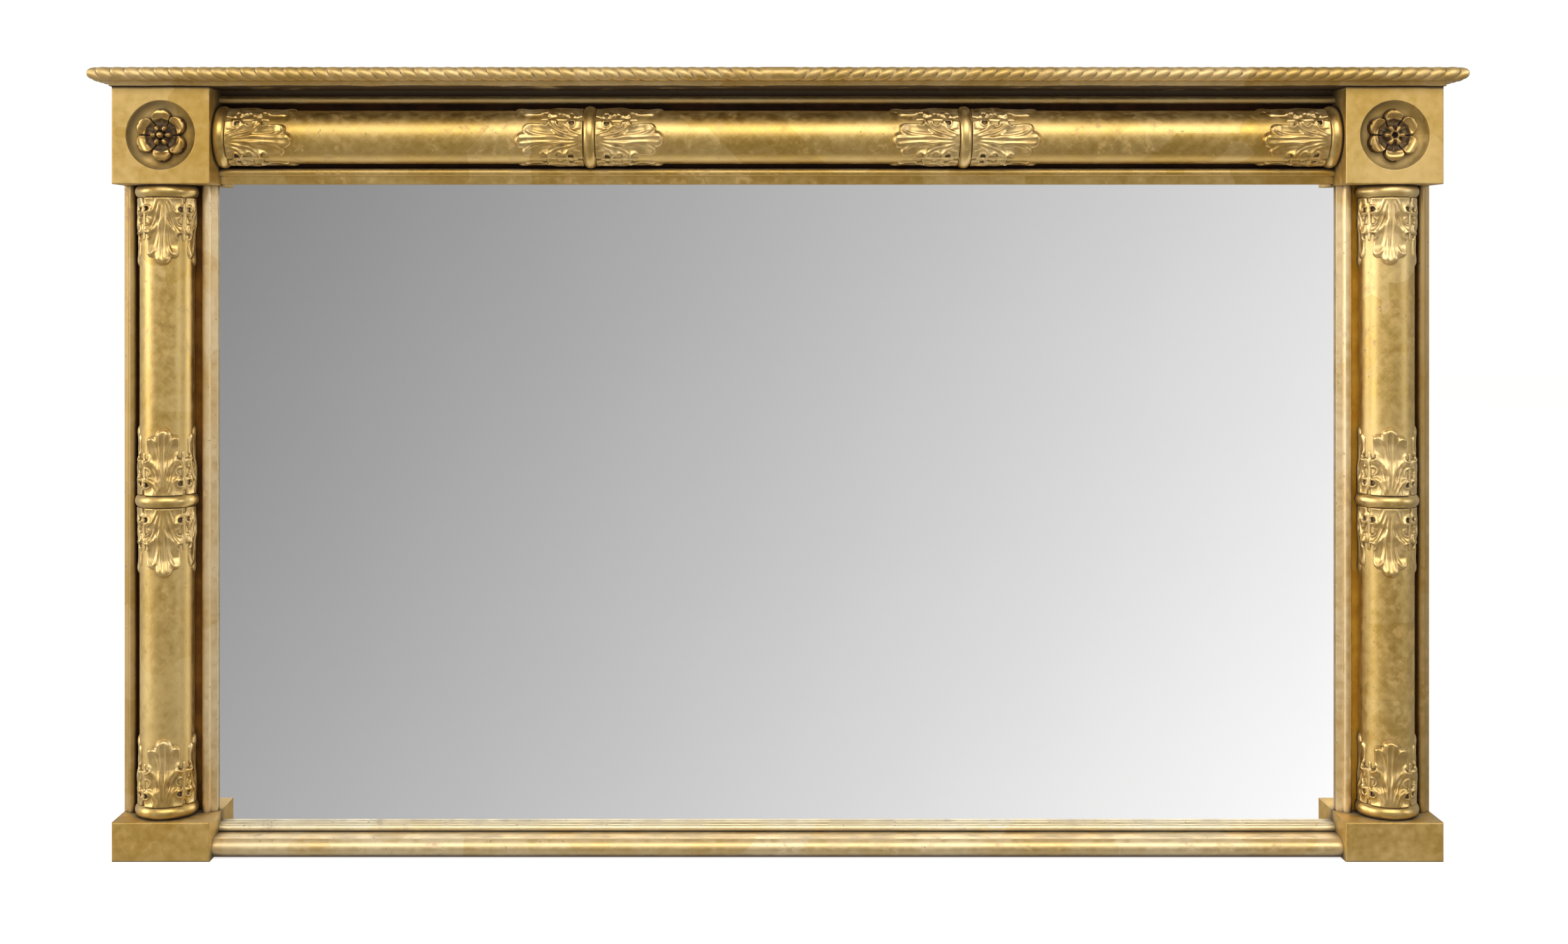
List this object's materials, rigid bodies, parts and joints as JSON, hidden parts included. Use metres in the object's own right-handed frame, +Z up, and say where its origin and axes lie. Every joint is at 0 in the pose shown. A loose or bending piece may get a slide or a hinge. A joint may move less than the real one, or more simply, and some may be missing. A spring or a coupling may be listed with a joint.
{
  "type": "overmantel mirror",
  "caption": "Wide gilded wooden mirror for a mantelshelf, framed by applied columns with acanthus leaves, rosette corner blocks, plinths and a rope-edged cornice, with ring hangers behind.",
  "frame": {"origin": "middle of the footprint, on the plane of the feet; the footprint includes the hangers behind", "axes": "+X along the wall to the viewer's right, +Y towards the wall, +Z up; the mirror faces -Y"},
  "size_m": [1.372, 0.1009, 0.795],
  "materials": {
    "gilt_wood": "worn gilding over gesso",
    "gilt_ornament": "gilded cast composition",
    "bare_pine": "aged bare pine",
    "silvered_plate": "silvered plate glass",
    "hanger_brass": "aged brass",
    "iron_fixings": "dark iron"
  },
  "bodies": {
    "frame": {"backboard_nails": "iron_fixings", "bottom_rail": "bare_pine", "bottom_sight_moulding": "gilt_wood", "bottom_torus": "gilt_wood", "corner_pegs": "bare_pine", "cornice_board": "gilt_wood", "frame_screws": "iron_fixings", "frieze_column": "gilt_wood", "frieze_cove_moulding": "gilt_wood", "frieze_left_end_leaves": "gilt_ornament", "frieze_left_end_ring": "gilt_ornament", "frieze_left_inner_leaves": "gilt_ornament", "frieze_left_outer_leaves": "gilt_ornament", "frieze_left_ring": "gilt_ornament", "frieze_right_end_leaves": "gilt_ornament", "frieze_right_end_ring": "gilt_ornament", "frieze_right_inner_leaves": "gilt_ornament", "frieze_right_outer_leaves": "gilt_ornament", "frieze_right_ring": "gilt_ornament", "frieze_sight_moulding": "gilt_wood", "front_rope": "gilt_wood", "hanger_screws": "iron_fixings", "hanger_straps": "hanger_brass", "left_base_leaves": "gilt_ornament", "left_base_ring": "gilt_ornament", "left_column": "gilt_wood", "left_corner_block": "gilt_wood", "left_end_rope": "gilt_wood", "left_lower_leaves": "gilt_ornament", "left_middle_ring": "gilt_ornament", "left_neck_leaves": "gilt_ornament", "left_neck_ring": "gilt_ornament", "left_outer_moulding": "gilt_wood", "left_plinth": "gilt_wood", "left_rosette": "gilt_ornament", "left_sight_moulding": "gilt_wood", "left_stile": "bare_pine", "left_upper_leaves": "gilt_ornament", "lower_backboard": "bare_pine", "mirror_plate": "silvered_plate", "plate_bearers": "bare_pine", "right_base_leaves": "gilt_ornament", "right_base_ring": "gilt_ornament", "right_column": "gilt_wood", "right_corner_block": "gilt_wood", "right_end_rope": "gilt_wood", "right_lower_leaves": "gilt_ornament", "right_middle_ring": "gilt_ornament", "right_neck_leaves": "gilt_ornament", "right_neck_ring": "gilt_ornament", "right_outer_moulding": "gilt_wood", "right_plinth": "gilt_wood", "right_rosette": "gilt_ornament", "right_sight_moulding": "gilt_wood", "right_stile": "bare_pine", "right_upper_leaves": "gilt_ornament", "top_rail": "bare_pine", "upper_backboard": "bare_pine"},
    "left_ring": {"left_hanging_ring": "hanger_brass"},
    "right_ring": {"right_hanging_ring": "hanger_brass"}
  },
  "joints": [
    {"name": "left_ring_swing", "type": "hinge", "parent": "frame", "child": "left_ring", "pos_m": [-0.621, 0.0465, 0.64], "axis": [1, 0, 0], "range_deg": [0, 180]},
    {"name": "right_ring_swing", "type": "hinge", "parent": "frame", "child": "right_ring", "pos_m": [0.621, 0.0465, 0.64], "axis": [1, 0, 0], "range_deg": [0, 180]}
  ]
}
